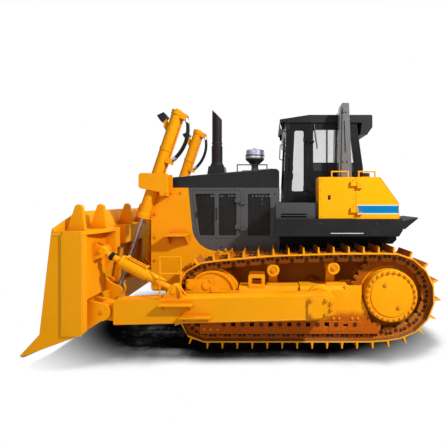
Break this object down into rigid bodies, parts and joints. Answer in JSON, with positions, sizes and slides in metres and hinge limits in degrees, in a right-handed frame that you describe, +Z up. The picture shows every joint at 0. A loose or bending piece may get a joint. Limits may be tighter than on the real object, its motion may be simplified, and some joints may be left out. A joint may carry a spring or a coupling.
{
  "type": "crawler bulldozer",
  "caption": "Crawler bulldozer with a semi-U blade on outside push arms, lift and brace cylinders, glazed cab with roll-over frame, side tanks and grousered tracks.",
  "frame": {"origin": "on the ground under the middle of the overall length and width", "axes": "+X to the rear of the machine, -X to its blade, -Y to its left side, +Z up"},
  "size_m": [6.7945, 4.7, 4.43],
  "materials": {
    "yellow_paint": "gloss",
    "edge_steel": "worn",
    "track_paint": "satin",
    "dark_grey_paint": "satin",
    "black_paint": "satin",
    "rops_grey_paint": "satin",
    "engine_iron": "rough",
    "stack_steel": "heat-tinted",
    "bright_metal": "polished",
    "window_glass": "clear",
    "seat_cloth": "woven",
    "console_plastic": "grained",
    "chrome_rod": "polished",
    "hose_rubber": "matt"
  },
  "bodies": {
    "chassis": {"main_frame": "dark_grey_paint", "rear_case": "dark_grey_paint", "platform": "dark_grey_paint", "radiator_guard": "yellow_paint", "radiator_grille": "dark_grey_paint", "hood": "dark_grey_paint", "engine_sides": "dark_grey_paint", "engine_block": "engine_iron", "exhaust_stack": "stack_steel", "precleaner": "bright_metal", "cab_floor": "black_paint", "cab_front": "black_paint", "cab_rear": "black_paint", "cab_side_left": "black_paint", "cab_side_right": "black_paint", "cab_roof": "black_paint", "cab_glass": "window_glass", "seat": "seat_cloth", "console": "console_plastic", "rops_post_left": "rops_grey_paint", "rops_post_right": "rops_grey_paint", "rops_beam": "rops_grey_paint", "fender_left": "dark_grey_paint", "fender_right": "dark_grey_paint", "tank_left": "yellow_paint", "tank_right": "yellow_paint", "track_left": "track_paint", "track_right": "track_paint", "track_frame_left": "yellow_paint", "track_frame_right": "yellow_paint", "sprocket_left": "yellow_paint", "sprocket_right": "yellow_paint", "rollers_left": "yellow_paint", "rollers_right": "yellow_paint"},
    "push_arms": {"push_arm_left": "yellow_paint", "push_arm_right": "yellow_paint"},
    "blade_body": {"blade": "yellow_paint", "cutting_edge": "edge_steel"},
    "lift_barrel_left_body": {"lift_barrel_left": "yellow_paint", "lift_hoses_left": "hose_rubber", "lamp_left": "black_paint"},
    "lift_rod_left_body": {"lift_rod_left": "chrome_rod"},
    "brace_barrel_left_body": {"brace_barrel_left": "yellow_paint"},
    "brace_rod_left_body": {"brace_rod_left": "yellow_paint"},
    "cab_door_left_body": {"cab_door_left": "black_paint", "door_glass_left": "window_glass"},
    "engine_door_left_body": {"engine_door_left": "dark_grey_paint"},
    "lift_barrel_right_body": {"lift_barrel_right": "yellow_paint", "lift_hoses_right": "hose_rubber", "lamp_right": "black_paint"},
    "lift_rod_right_body": {"lift_rod_right": "chrome_rod"},
    "brace_barrel_right_body": {"brace_barrel_right": "yellow_paint"},
    "brace_rod_right_body": {"brace_rod_right": "yellow_paint"},
    "cab_door_right_body": {"cab_door_right": "black_paint", "door_glass_right": "window_glass"},
    "engine_door_right_body": {"engine_door_right": "dark_grey_paint"},
    "tank_door_body": {"tank_door": "yellow_paint"}
  },
  "joints": [
    {"name": "blade_lift", "type": "hinge", "parent": "chassis", "child": "push_arms", "pos_m": [1.32, 0, 0.87], "axis": [0, 1, 0], "range_deg": [-8, 16]},
    {"name": "blade_pitch", "type": "hinge", "parent": "push_arms", "child": "blade_body", "pos_m": [-2.28, 0, 0.76], "axis": [0, 1, 0], "range_deg": [-5, 5]},
    {"name": "lift_swing_left", "type": "hinge", "parent": "chassis", "child": "lift_barrel_left_body", "pos_m": [-1.76, -0.95, 2.92], "axis": [0, 1, 0], "range_deg": [-6, 12]},
    {"name": "lift_stroke_left", "type": "slide", "parent": "lift_barrel_left_body", "child": "lift_rod_left_body", "axis": [-0.319, 0, -0.9478], "range_m": [-1.03, 0.52]},
    {"name": "brace_swing_left", "type": "hinge", "parent": "push_arms", "child": "brace_barrel_left_body", "pos_m": [-1.13, -1.84, 1.085], "axis": [0, 1, 0], "range_deg": [-2.5, 2.5]},
    {"name": "brace_stroke_left", "type": "slide", "parent": "brace_barrel_left_body", "child": "brace_rod_left_body", "axis": [-0.8799, 0, 0.4751], "range_m": [-0.075, 0.075]},
    {"name": "cab_door_left", "type": "hinge", "parent": "chassis", "child": "cab_door_left_body", "pos_m": [1.22, -0.878, 3.3], "axis": [0, 0, 1], "range_deg": [0, 85]},
    {"name": "engine_door_left", "type": "hinge", "parent": "chassis", "child": "engine_door_left_body", "pos_m": [-0.114, -0.808, 2.3], "axis": [0, 0, 1], "range_deg": [0, 100]},
    {"name": "lift_swing_right", "type": "hinge", "parent": "chassis", "child": "lift_barrel_right_body", "pos_m": [-1.76, 0.95, 2.92], "axis": [0, 1, 0], "range_deg": [-6, 12]},
    {"name": "lift_stroke_right", "type": "slide", "parent": "lift_barrel_right_body", "child": "lift_rod_right_body", "axis": [-0.319, 0, -0.9478], "range_m": [-1.03, 0.52]},
    {"name": "brace_swing_right", "type": "hinge", "parent": "push_arms", "child": "brace_barrel_right_body", "pos_m": [-1.13, 1.84, 1.085], "axis": [0, 1, 0], "range_deg": [-2.5, 2.5]},
    {"name": "brace_stroke_right", "type": "slide", "parent": "brace_barrel_right_body", "child": "brace_rod_right_body", "axis": [-0.8799, 0, 0.4751], "range_m": [-0.075, 0.075]},
    {"name": "cab_door_right", "type": "hinge", "parent": "chassis", "child": "cab_door_right_body", "pos_m": [1.22, 0.878, 3.3], "axis": [0, 0, -1], "range_deg": [0, 85]},
    {"name": "engine_door_right", "type": "hinge", "parent": "chassis", "child": "engine_door_right_body", "pos_m": [-0.114, 0.808, 2.3], "axis": [0, 0, -1], "range_deg": [0, 100]},
    {"name": "tank_door", "type": "hinge", "parent": "chassis", "child": "tank_door_body", "pos_m": [1.97, -1.578, 2.6], "axis": [0, 0, 1], "range_deg": [0, 110]}
  ],
  "couplings": [
    {"joint": "lift_swing_left", "follows": "blade_lift", "ratio": 0.58378},
    {"joint": "lift_stroke_left", "follows": "blade_lift", "m_per_rad": -3.6129},
    {"joint": "brace_swing_left", "follows": "blade_pitch", "ratio": 0.37097},
    {"joint": "brace_stroke_left", "follows": "blade_pitch", "m_per_rad": -0.83218},
    {"joint": "lift_swing_right", "follows": "blade_lift", "ratio": 0.58378},
    {"joint": "lift_stroke_right", "follows": "blade_lift", "m_per_rad": -3.6129},
    {"joint": "brace_swing_right", "follows": "blade_pitch", "ratio": 0.37097},
    {"joint": "brace_stroke_right", "follows": "blade_pitch", "m_per_rad": -0.83218}
  ]
}
